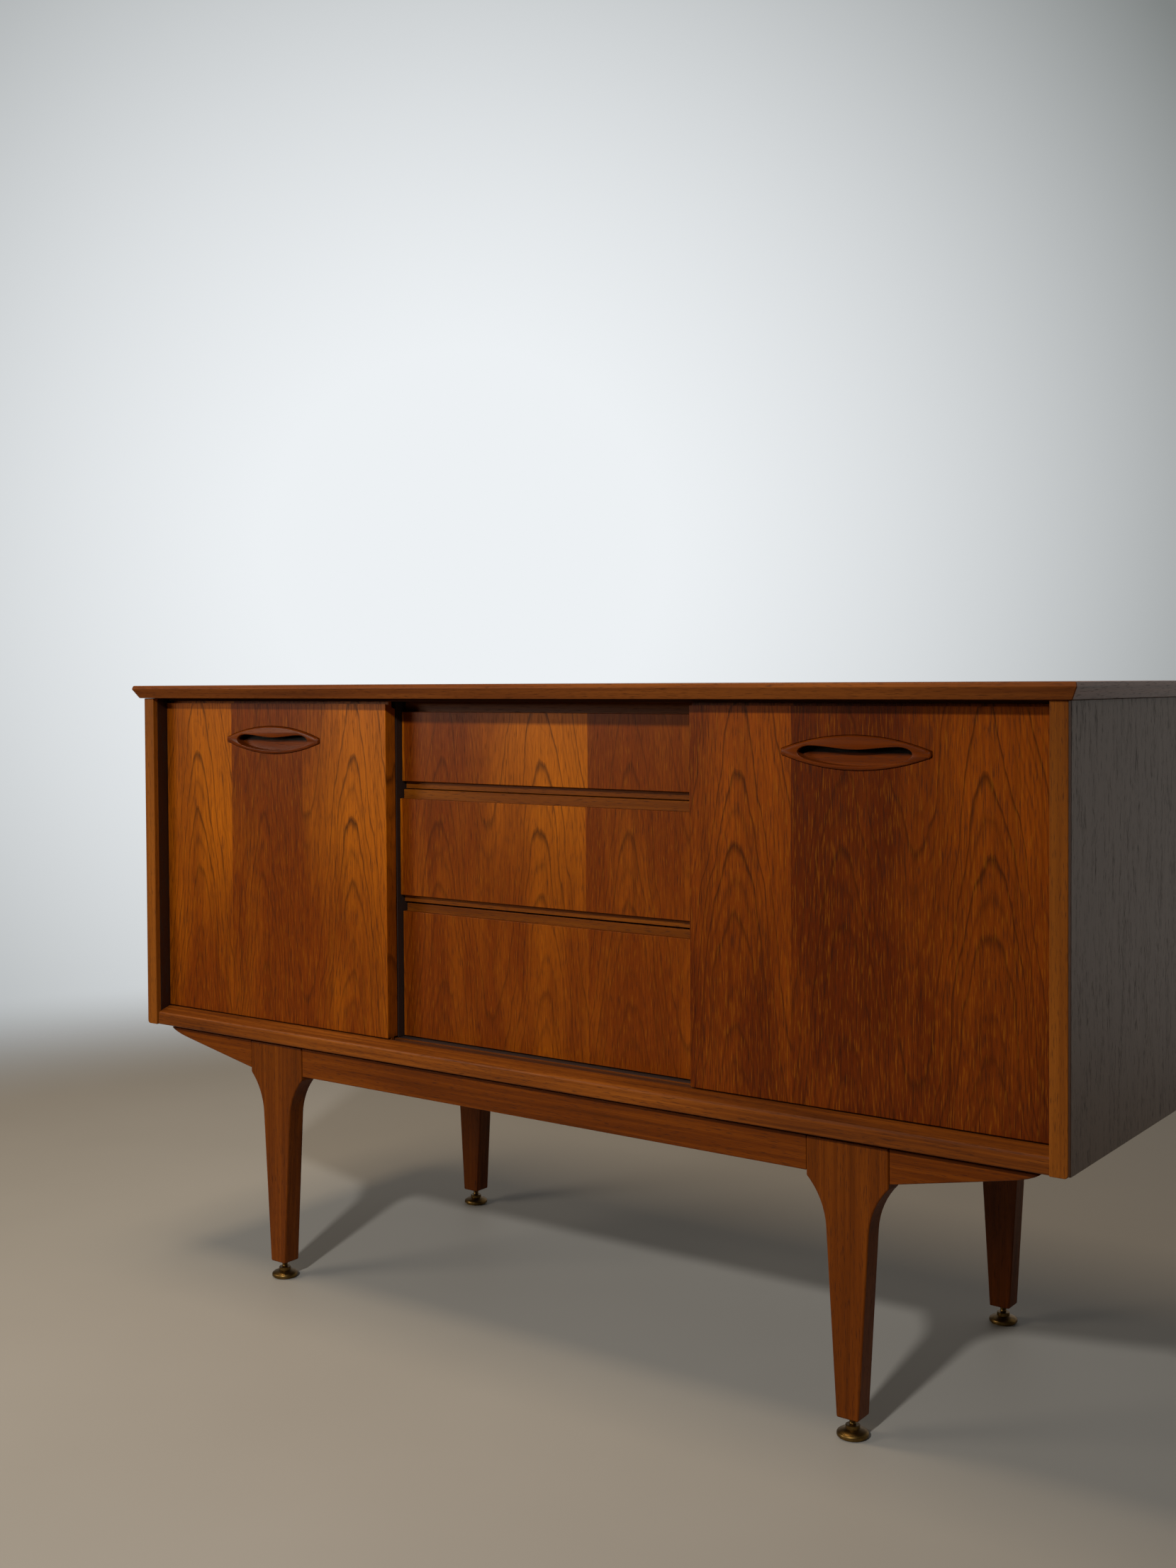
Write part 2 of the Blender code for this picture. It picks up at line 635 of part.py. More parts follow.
def make_drawer(name):
    """A box on runners. A thin veneered face stands proud on a taller front board."""
    ajar = DRAWER_AJAR[name]
    (face_low, face_high), (low, high) = drawer_heights()[name]
    face_front = DOOR_BACK + DRAWER_FACE_CLEAR - ajar
    front = face_front + DRAWER_FACE + GAP
    start = front + DRAWER_FRONT + GAP
    end = BACK_FACE - DRAWER_BACK_CLEARANCE - ajar
    left = BAY_LEFT + DRAWER_FACE_CLEARANCE
    right = BAY_RIGHT - DRAWER_FACE_CLEARANCE
    outer = BAY_HALF - DRAWER_SIDE_CLEARANCE
    inner = outer - DRAWER_SIDE
    resting = low + RUNNER_CLEARANCE if name != "bottom" else FLOOR + RUNNER_CLEARANCE
    rim = high - DRAWER_TOP_FALL if name != "top" else face_high
    rim = rim - RUNNER_HEIGHT * (name != "top")
    floor = resting + DRAWER_BOTTOM_RISE
    face = box(
        f"drawer_{name}_face", (left, face_front, face_low),
        (right, face_front + DRAWER_FACE, face_high), TEAK_VENEER,
    )
    board_front = box(
        f"drawer_{name}_front", (left, front, low), (right, front + DRAWER_FRONT, high),
        TEAK_SOLID,
    )
    pieces = [face, board_front]
    for word, side in (("left", -1), ("right", 1)):
        section = [
            (inner, resting),
            (outer, resting),
            (outer, rim),
            (inner, rim),
            (inner, floor + DRAWER_BOTTOM + GAP),
            (inner + DRAWER_GROOVE, floor + DRAWER_BOTTOM + GAP),
            (inner + DRAWER_GROOVE, floor - GAP),
            (inner, floor - GAP),
        ]
        outline = [(BAY_SHIFT + side * x, z) for x, z in section]
        pieces.append(
            board(f"drawer_{name}_side_{word}", outline, "xz", start, end, DRAWER_WOOD)
        )
    reach = inner + DRAWER_GROOVE - GAP
    pieces.append(
        box(
            f"drawer_{name}_bottom", (BAY_SHIFT - reach, start, floor),
            (BAY_SHIFT + reach, end, floor + DRAWER_BOTTOM), PLYWOOD,
        )
    )
    pieces.append(
        box(
            f"drawer_{name}_back",
            (BAY_SHIFT - inner + GAP, end - DRAWER_BACK, floor + DRAWER_BOTTOM + GAP),
            (BAY_SHIFT + inner - GAP, end, rim),
            DRAWER_WOOD,
        )
    )
    slide = mover(f"drawer_{name}_slide", (BAY_SHIFT, face_front, (low + high) / 2))
    hang(slide, *pieces)


def make_runners():
    """Strips screwed to the dividers. The lowest drawer runs on the bottom panel."""
    for name in ("top", "middle"):
        level = drawer_heights()[name][1][0]
        for word, side in (("left", -1), ("right", 1)):
            wall = BAY_HALF + side * BAY_SHIFT
            low = (wall - RUNNER_WIDTH, DIVIDER_FRONT + RUNNER_SETBACK, level - RUNNER_HEIGHT)
            high = (wall - GAP, BACK_FACE - RUNNER_BACK_CLEARANCE, level)
            box(f"runner_{name}_{word}", *mirrored(low, high, side), DRAWER_WOOD)


# ---------------------------------------------------------------- the frame and its feet
def leg_outline():
    """One half of a leg from its head down, with the other half mirrored to it."""
    shoulder = FRAME_TOP - LEG_HEAD_HEIGHT
    head = LEG_HEAD_WIDTH / 2
    lean = math.radians(LEG_CURVE_START)
    centre = (
        head - LEG_CURVE_RADIUS * math.cos(lean),
        shoulder - LEG_CURVE_RADIUS * math.sin(lean),
    )
    half = [(head, FRAME_TOP)]
    half += arc(centre, LEG_CURVE_RADIUS, LEG_CURVE_START, LEG_CURVE_END, 8)
    half += [(LEG_FOOT_WIDTH / 2, LEG_FOOT_HEIGHT)]
    return half + [(-x, z) for x, z in reversed(half)]


def bracket_outline():
    """A wing from the leg's head out to a rounded nose under the carcass."""
    start = LEG_X + LEG_HEAD_WIDTH / 2 + GAP
    foot = FRAME_TOP - FRAME_RAIL_HEIGHT
    tip = start + BRACKET_LENGTH
    nose_x = tip - BRACKET_NOSE_LENGTH
    nose_z = FRAME_TOP - BRACKET_NOSE_HEIGHT
    slope = (nose_z - foot) / (nose_x - start)
    pull_x = tip - BRACKET_NOSE_LENGTH * BRACKET_NOSE_PULL
    pull_z = nose_z + slope * (pull_x - nose_x)
    nose = []
    for i in range(BRACKET_NOSE_STEPS + 1):
        t = i / BRACKET_NOSE_STEPS
        x = (1 - t) ** 2 * nose_x + 2 * t * (1 - t) * pull_x + t**2 * tip
        z = (1 - t) ** 2 * nose_z + 2 * t * (1 - t) * pull_z + t**2 * FRAME_TOP
        nose.append((x, z))
    return [(start, FRAME_TOP), (start, foot)] + nose


def cross_rail_outline():
    """Front to back between two legs, stepped up behind the sill to bear on the bottom."""
    start = FRONT + LEG_SETBACK + LEG_THICKNESS + GAP
    step = SILL_BACK + CROSS_RAIL_STEP_CLEARANCE
    end = BACK - LEG_SETBACK - LEG_THICKNESS - GAP
    top = FLOOR - BOTTOM_THICKNESS - GAP
    foot = FRAME_TOP - CROSS_RAIL_HEIGHT
    return [(start, foot), (end, foot), (end, top), (step, top), (step, FRAME_TOP),
            (start, FRAME_TOP)]


def glide_profile():
    """A domed foot, a collar and a stem, from the stem's end down to the floor."""
    dome = [
        (GLIDE_COLLAR_RADIUS + (GLIDE_RADIUS - GLIDE_COLLAR_RADIUS) * math.sin(a),
         GLIDE_RIM + (GLIDE_DOME - GLIDE_RIM) * math.cos(a))
        for a in [math.radians(step) for step in (0, 22.5, 45, 67.5, 90)]
    ]
    profile = [
        (0, GLIDE_COLLAR_TOP + STEM_LENGTH),
        (STEM_RADIUS, GLIDE_COLLAR_TOP + STEM_LENGTH),
        (STEM_RADIUS, GLIDE_COLLAR_TOP),
        (GLIDE_COLLAR_RADIUS, GLIDE_COLLAR_TOP),
    ]
    profile += dome
    profile += [(GLIDE_RADIUS - GLIDE_EDGE, 0), (0, 0)]
    return profile


def make_leg(name, side, front_y):
    leg = board(
        f"leg_{name}",
        shifted(leg_outline(), side * LEG_X, 0),
        "xz",
        front_y,
        front_y + LEG_THICKNESS,
        TEAK_SOLID,
    )
    leg = as_mesh(leg)
    middle = front_y + LEG_THICKNESS / 2
    bore_top = GLIDE_COLLAR_TOP + STEM_LENGTH + BORE_SPARE
    bore_radius = STEM_RADIUS + STEM_BORE_CLEARANCE
    bore = turned(
        f"bore_{name}",
        [(0, bore_top), (bore_radius, bore_top), (bore_radius, 0), (0, 0)],
        16,
        None,
        CUTTERS,
    )
    bore.location = (side * LEG_X, middle, 0)
    cut(leg, bore)
    glide = turned(f"glide_{name}", glide_profile(), 24, BRASS)
    glide.location = (side * LEG_X, middle, 0)


def make_frame():
    foot = FRAME_TOP - FRAME_RAIL_HEIGHT
    front_leg = FRONT + LEG_SETBACK
    back_leg = BACK - LEG_SETBACK - LEG_THICKNESS
    rail_reach = LEG_X - LEG_HEAD_WIDTH / 2 - GAP
    front_rail = FRONT + LEG_SETBACK + FRAME_RAIL_SETBACK
    back_rail = BACK - LEG_SETBACK - FRAME_RAIL_SETBACK - FRAME_RAIL_THICKNESS
    for word, start in (("front", front_rail), ("back", back_rail)):
        box(
            f"frame_rail_{word}",
            (-rail_reach, start, foot),
            (rail_reach, start + FRAME_RAIL_THICKNESS, FRAME_TOP),
            TEAK_SOLID,
        )
    for word, side in (("left", -1), ("right", 1)):
        middle = side * LEG_X
        board(
            f"frame_cross_rail_{word}", cross_rail_outline(), "yz",
            middle - CROSS_RAIL_THICKNESS / 2, middle + CROSS_RAIL_THICKNESS / 2, TEAK_SOLID,
        )
        bracket = [(side * x, z) for x, z in bracket_outline()]
        for place, start in (
            ("front", front_leg + BRACKET_SETBACK),
            ("back", back_leg + LEG_THICKNESS - BRACKET_SETBACK - BRACKET_THICKNESS),
        ):
            board(
                f"bracket_{place}_{word}", bracket, "xz",
                start, start + BRACKET_THICKNESS, TEAK_SOLID,
            )
        make_leg(f"front_{word}", side, front_leg)
        make_leg(f"back_{word}", side, back_leg)


make_top()
make_carcass()
make_tracks()
make_door("left", -1, -SIDE_INNER + DOOR_SIDE_CLEARANCE, BAY_LEFT)
make_door("right", 1, BAY_RIGHT, SIDE_INNER - DOOR_SIDE_CLEARANCE)
for drawer in DRAWER_AJAR:
    make_drawer(drawer)
make_runners()
make_frame()
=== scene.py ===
"""A low teak sideboard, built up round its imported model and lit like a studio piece.

Metres, +Z up, front towards -Y. The wood is teak veneer on board with solid teak at the
edges and under it, all in a satin lacquer.
"""
import math

import bpy
from mathutils import Matrix, Vector


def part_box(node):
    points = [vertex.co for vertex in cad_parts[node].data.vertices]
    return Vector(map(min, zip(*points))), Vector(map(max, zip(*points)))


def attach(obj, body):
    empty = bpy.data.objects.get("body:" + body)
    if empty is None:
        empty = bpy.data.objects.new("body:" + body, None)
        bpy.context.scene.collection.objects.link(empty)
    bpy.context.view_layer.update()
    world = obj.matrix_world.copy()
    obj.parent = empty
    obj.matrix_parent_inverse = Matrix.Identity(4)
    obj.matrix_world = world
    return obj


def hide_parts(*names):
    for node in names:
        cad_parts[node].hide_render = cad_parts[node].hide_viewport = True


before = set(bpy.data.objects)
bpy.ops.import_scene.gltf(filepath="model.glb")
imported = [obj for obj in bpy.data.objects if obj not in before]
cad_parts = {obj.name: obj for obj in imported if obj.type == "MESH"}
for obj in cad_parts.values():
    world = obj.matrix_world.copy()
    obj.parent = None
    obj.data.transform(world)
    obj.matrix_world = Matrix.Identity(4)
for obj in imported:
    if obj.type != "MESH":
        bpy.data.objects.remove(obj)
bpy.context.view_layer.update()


# ---------------------------------------------------------------- the room
# A plain floor that fades into pale air. A low window on the left lights the fronts, a
# lamp high in front and a warm panel overhead light the floor, and the air does the rest.
def linear(text):
    """A hex colour as the linear values that Blender works in."""
    parts = [int(text[i:i + 2], 16) / 255 for i in (1, 3, 5)]
    return [c / 12.92 if c <= 0.04045 else ((c + 0.055) / 1.055) ** 2.4 for c in parts] + [1.0]


def wire(tree, kind, feeds, **settings):
    """Adds a node. Each feed is a number, a colour, a socket, or a node's first output."""
    made = tree.nodes.new("ShaderNode" + kind)
    for name, value in settings.items():
        setattr(made, name, value)
    for key, value in feeds.items():
        if isinstance(value, bpy.types.Node):
            value = value.outputs[0]
        if isinstance(value, bpy.types.NodeSocket):
            tree.links.new(value, made.inputs[key])
        else:
            made.inputs[key].default_value = value
    return made


EYE = (1.27828, -1.80980, 0.79951)
YAW, PITCH, ROLL = 36.0817, -1.3971, -0.3169
eye_data = bpy.data.cameras.new("eye")
eye_data.lens = 39.605
eye_data.sensor_width = 36
eye_data.shift_x = -0.00674
eye_data.shift_y = -0.03850
eye_data.clip_start = 0.02
eye = bpy.data.objects.new("eye", eye_data)
bpy.context.scene.collection.objects.link(eye)
eye.matrix_world = (
    Matrix.Translation(EYE)
    @ Matrix.Rotation(math.radians(YAW), 4, "Z")
    @ Matrix.Rotation(math.radians(90 + PITCH), 4, "X")
    @ Matrix.Rotation(math.radians(ROLL), 4, "Z")
)
bpy.context.scene.camera = eye
bpy.context.scene.view_settings.view_transform = "Standard"

BRIGHTEST = (-0.646, 0.759, 0.075)      # the way from the eye to just over the piece
air = bpy.data.worlds.new("pale_air")
air.use_nodes = True
tree = air.node_tree
direction = wire(tree, "TexCoord", {}).outputs["Generated"]
compass = wire(tree, "SeparateXYZ", {"Vector": direction})
# what is seen behind the piece is pale, with a painted pool of light brightest just over it
toward = wire(tree, "VectorMath", {0: direction, 1: BRIGHTEST}, operation="DOT_PRODUCT")
pool = wire(tree, "MapRange", {
    "Value": toward.outputs["Value"], "From Min": 0.89, "From Max": 0.993,
})
pale = wire(tree, "Mix", {
    "Factor": pool.outputs[0], 6: linear("#7f8382"), 7: linear("#edf1f4"),
}, data_type="RGBA")
# the light that the air gives: some from overhead, and more from the pale wall side
overhead = wire(tree, "MapRange", {
    "Value": compass.outputs["Z"], "From Min": -0.1, "From Max": 0.9,
    "To Min": 0.005, "To Max": 0.12,
})
wall = wire(tree, "MapRange", {
    "Value": compass.outputs["Y"], "From Min": 0.2, "From Max": 0.95,
    "To Min": 0.0, "To Max": 0.45,
})
amount = wire(tree, "Math", {0: overhead, 1: wall}, operation="ADD")
given = wire(tree, "VectorMath", {
    0: linear("#efebe5")[:3], "Scale": amount,
}, operation="SCALE")
ray = wire(tree, "LightPath", {})
shown = wire(tree, "Mix", {
    "Factor": ray.outputs["Is Camera Ray"], 6: given, 7: pale.outputs[2],
}, data_type="RGBA")
tree.links.new(shown.outputs[2], tree.nodes["Background"].inputs["Color"])
bpy.context.scene.world = air


def add_light(name, kind, place, aim, watts, colour):
    """A light of one kind, turned from its place towards what it is aimed at."""
    made = bpy.data.lights.new(name, kind)
    made.energy = watts
    made.color = linear(colour)[:3]
    stand = bpy.data.objects.new(name, made)
    bpy.context.scene.collection.objects.link(stand)
    stand.location = place
    stand.rotation_euler = (Vector(aim) - Vector(place)).to_track_quat("-Z", "Y").to_euler()
    return made


lamp = add_light("round_lamp", "SPOT", (0.72, -2.97, 2.28), (-0.10, -0.3, 0.20), 300, "#fbf7f2")
lamp.shadow_soft_size = 0.10
lamp.spot_size = math.radians(46)
lamp.spot_blend = 1.0
window = add_light("window", "AREA", (-1.75, -2.00, 1.18), (-0.25, -0.2, 0.70), 21, "#fff0dd")
window.shape = "RECTANGLE"
window.size = 0.9
window.size_y = 0.5
ceiling = add_light("ceiling_panel", "AREA", (-0.80, -0.35, 2.9), (-0.80, -0.35, 0), 35, "#ffe2bd")
ceiling.shape = "SQUARE"
ceiling.size = 0.8

FLOOR_CLEAR = 1.5       # the floor is whole this far out, and gone at FLOOR_GONE
FLOOR_GONE = 2.7
FLOOR_SIZE = 12
FLOOR_UNDER = 0.0005    # how far it lies under the glides' soles
bpy.ops.object.select_all(action="DESELECT")
bpy.ops.mesh.primitive_plane_add(size=FLOOR_SIZE, location=(0, 0, -FLOOR_UNDER))
floor = bpy.context.object
floor.name = "studio_floor"
painted = bpy.data.materials.new("painted_concrete_floor")
painted.use_nodes = True
tree = painted.node_tree
point = wire(tree, "TexCoord", {}).outputs["Object"]
mottle = wire(tree, "TexNoise", {"Vector": point, "Scale": 1.4, "Detail": 4.0})
shade = wire(tree, "Mix", {
    "Factor": mottle, 6: linear("#93918b"), 7: linear("#a19f9a"),
}, data_type="RGBA")
paint = tree.nodes["Principled BSDF"]
tree.links.new(shade.outputs[2], paint.inputs["Base Color"])
paint.inputs["Roughness"].default_value = 0.6
out_from = wire(tree, "VectorMath", {0: point}, operation="LENGTH")
solid = wire(tree, "MapRange", {
    "Value": out_from.outputs["Value"], "From Min": FLOOR_CLEAR, "From Max": FLOOR_GONE,
    "To Min": 1.0, "To Max": 0.0,
}, interpolation_type="SMOOTHSTEP")
tree.links.new(solid.outputs[0], paint.inputs["Alpha"])
floor.data.materials.append(painted)


# ---------------------------------------------------------------- side panels
# Two 19 mm panels veneered outside in a brown teak with long open pores, its colour greyed as a
# painted sheen of the pale room, and inside in mahogany painted near black as painted shade.
# A lipping of solid teak covers the front edge.
def stretched(tree, point, grain, fine, long):
    """The point scaled for a pattern that runs along one axis, in repeats a metre."""
    scales = [fine] * 3
    scales["XYZ".index(grain)] = long
    return wire(tree, "VectorMath", {0: point, 1: scales}, operation="MULTIPLY")


def solid_teak(name, grain, dark, middle, light, matt=0.40, shine=0.1):
    """Solid teak, planed and lacquered: straight brown streaks and short dark pores.

    matt is the roughness between pores, and shine the strength of the lacquer's gloss.
    """
    made = bpy.data.materials.new(name)
    made.use_nodes = True
    tree = made.node_tree
    shader = tree.nodes["Principled BSDF"]
    point = wire(tree, "TexCoord", {}).outputs["Object"]
    # growth streaks some 5 mm wide and a third of a metre long
    streak = wire(tree, "TexNoise", {
        "Vector": stretched(tree, point, grain, 190, 3.2),
        "Scale": 1.0, "Detail": 5.0, "Roughness": 0.62, "Distortion": 0.35,
    })
    # slow drift of colour, about 60 mm across
    drift = wire(tree, "TexNoise", {
        "Vector": stretched(tree, point, grain, 17, 2.1), "Scale": 1.0, "Detail": 2.0,
    })
    mixed = wire(tree, "Mix", {"Factor": 0.42, 2: streak, 3: drift}, data_type="FLOAT")
    tone = wire(tree, "ValToRGB", {"Fac": mixed.outputs[0]})
    ramp = tone.color_ramp
    ramp.elements[0].position = 0.34
    ramp.elements[0].color = linear(dark)
    ramp.elements[1].position = 0.66
    ramp.elements[1].color = linear(light)
    ramp.elements.new(0.5).color = linear(middle)
    # pores are 0.3 mm wide, drawn 0.9 mm wide and 14 mm long so that they show
    pore = wire(tree, "TexNoise", {
        "Vector": stretched(tree, point, grain, 1100, 72), "Scale": 1.0, "Detail": 1.5,
    })
    pit = wire(tree, "MapRange", {
        "Value": pore, "From Min": 0.57, "From Max": 0.70, "To Min": 0.0, "To Max": 0.55,
    })
    coloured = wire(tree, "Mix", {
        "Factor": pit, 6: tone, 7: linear("#2a1208"),
    }, data_type="RGBA")
    tree.links.new(coloured.outputs[2], shader.inputs["Base Color"])
    rough = wire(tree, "MapRange", {"Value": pit, "To Min": matt, "To Max": matt + 0.3})
    tree.links.new(rough.outputs[0], shader.inputs["Roughness"])
    relief = wire(tree, "Bump", {
        "Strength": 0.35, "Distance": 0.0002, "Height": pit,
    }, invert=True)
    tree.links.new(relief.outputs[0], shader.inputs["Normal"])
    shader.inputs["IOR"].default_value = 1.5
    shader.inputs["Specular IOR Level"].default_value = shine
    return made


def open_pored(name, grain, dark, light, pores, matt=0.5, inside=None):
    """Plain veneer with an unfilled grain: long dark pores over an even ground.

    matt is the roughness between pores. inside is a place left and right of the middle,
    and the colour of faces within it.
    """
    made = bpy.data.materials.new(name)
    made.use_nodes = True
    tree = made.node_tree
    shader = tree.nodes["Principled BSDF"]
    point = wire(tree, "TexCoord", {}).outputs["Object"]
    # bands about 12 mm across
    band = wire(tree, "TexNoise", {
        "Vector": stretched(tree, point, grain, 85, 2.6),
        "Scale": 1.0, "Detail": 4.0, "Roughness": 0.6, "Distortion": 0.4,
    })
    ground = wire(tree, "Mix", {
        "Factor": band, 6: linear(dark), 7: linear(light),
    }, data_type="RGBA")
    if inside:
        across = wire(tree, "SeparateXYZ", {"Vector": point})
        out = wire(tree, "Math", {0: across}, operation="ABSOLUTE")
        within = wire(tree, "Math", {0: out, 1: inside[0]}, operation="LESS_THAN")
        ground = wire(tree, "Mix", {
            "Factor": within, 6: ground.outputs[2], 7: linear(inside[1]),
        }, data_type="RGBA")
    # pores in groups, drawn 1 mm wide and 12 mm long, wavering a little
    pore = wire(tree, "TexNoise", {
        "Vector": stretched(tree, point, grain, 950, 85),
        "Scale": 1.0, "Detail": 2.5, "Roughness": 0.6, "Distortion": 0.5,
    })
    group = wire(tree, "TexNoise", {
        "Vector": stretched(tree, point, grain, 120, 16), "Scale": 1.0, "Detail": 2.0,
    })
    both = wire(tree, "Math", {0: group, 1: 0.45, 2: pore}, operation="MULTIPLY_ADD")
    pit = wire(tree, "MapRange", {
        "Value": both, "From Min": 0.79, "From Max": 0.93, "To Min": 0.0, "To Max": 0.7,
    })
    coloured = wire(tree, "Mix", {
        "Factor": pit, 6: ground.outputs[2], 7: linear(pores),
    }, data_type="RGBA")
    tree.links.new(coloured.outputs[2], shader.inputs["Base Color"])
    rough = wire(tree, "MapRange", {"Value": pit, "To Min": matt, "To Max": matt + 0.3})
    tree.links.new(rough.outputs[0], shader.inputs["Roughness"])
    relief = wire(tree, "Bump", {
        "Strength": 0.5, "Distance": 0.0004, "Height": pit,
    }, invert=True)
    tree.links.new(relief.outputs[0], shader.inputs["Normal"])
    return made


def dress(node, finish, arris=0.0006, rounds=2):
    """Gives a packed board its finish and takes the sharpness off its arrises."""
    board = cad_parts[node]
    board.material_slots[0].material = finish
    bpy.ops.object.select_all(action="DESELECT")
    board.select_set(True)
    bpy.context.view_layer.objects.active = board
    bpy.ops.object.shade_smooth()
    weld = board.modifiers.new("weld", "WELD")
    weld.merge_threshold = 0.00001
    flat = board.modifiers.new("flat_faces", "DECIMATE")
    flat.decimate_type = "DISSOLVE"
    flat.angle_limit = math.radians(0.6)
    eased = board.modifiers.new("eased_arris", "BEVEL")
    eased.width = arris
    eased.segments = rounds
    eased.limit_method = "ANGLE"
    eased.angle_limit = math.radians(28)
    eased.use_clamp_overlap = False
    board.modifiers.new("even_shade", "WEIGHTED_NORMAL")


inner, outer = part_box("side_panel_right")
within_panel = (inner.x + outer.x) / 2      # faces nearer the middle are the inner ones
# painted sheen and shade: a greyed brown outside, and near black on the inner faces
panel_veneer = open_pored(
    "teak_veneer_painted_sheen_upright", "Z", "#665040", "#7a6350", "#17100c", 0.42,
    (within_panel, "#2b140a"))
lipping_teak = solid_teak("lipping_teak_upright", "Z", "#6a380e", "#7d4511", "#8f5217")
for side in ("left", "right"):
    dress(f"side_panel_{side}", panel_veneer, 0.0005)
    dress(f"side_lipping_{side}", lipping_teak, 0.0009, 3)


# ---------------------------------------------------------------- bottom and sill
# A plain veneered bottom, its mahogany painted near black as painted shade, behind a moulded sill
# of solid teak. The sill has a steep upper
# bevel and a blunt nose, and the doors' lower track is let into its top behind the bevel.
sill_teak = solid_teak("sill_teak_lengthwise", "X", "#4b240b", "#6d380d", "#8f5017")
# painted shade: the mahogany inside is painted near black, for the shade in the gaps between
# doors, dividers and drawers
painted_shade_inside_veneer = open_pored(
    "mahogany_painted_shade_upright", "Z", "#221008", "#2e170c", "#100603", 0.7)
painted_shade_shelf_veneer = open_pored(
    "mahogany_painted_shade_lengthwise", "X", "#221008", "#2e170c", "#100603", 0.7)
dress("bottom_rail", sill_teak, 0.0010, 3)
dress("bottom_panel", painted_shade_shelf_veneer, 0.0003)


# ---------------------------------------------------------------- dividers, shelves, back
# Dividers beside the drawers and a shelf housed into each, veneered in mahogany painted near black
# as painted shade.
# The back is thin plywood set in rebates, its face veneer running upright.
birch_ply = open_pored("birch_plywood_upright", "Z", "#9a6f45", "#a97c50", "#6f4a2b", 0.6)
for side in ("left", "right"):
    dress(f"divider_{side}", painted_shade_inside_veneer, 0.0004)
    dress(f"shelf_{side}", painted_shade_shelf_veneer, 0.0004)
dress("back_panel", birch_ply, 0.0003)


# ---------------------------------------------------------------- the top
# Teak veneer laid lengthwise in two leaves, inside a mitred edging of solid teak whose
# face stands out from a small upper arris and tucks back under.
LEAF = 0.2925           # width of a veneer leaf
ARCHES = 0.162          # between the flame figures within a leaf
ARCH_AT = 0.063         # the first figure, from the leaf's left joint
ARCH_RISE = 0.022       # how far the growth rings bow across a figure
RING = 0.0022           # between growth rings
RING_WANDER = 0.0014    # how far a ring strays from its even line
WAVER = 0.007           # how far a figure strays to either side


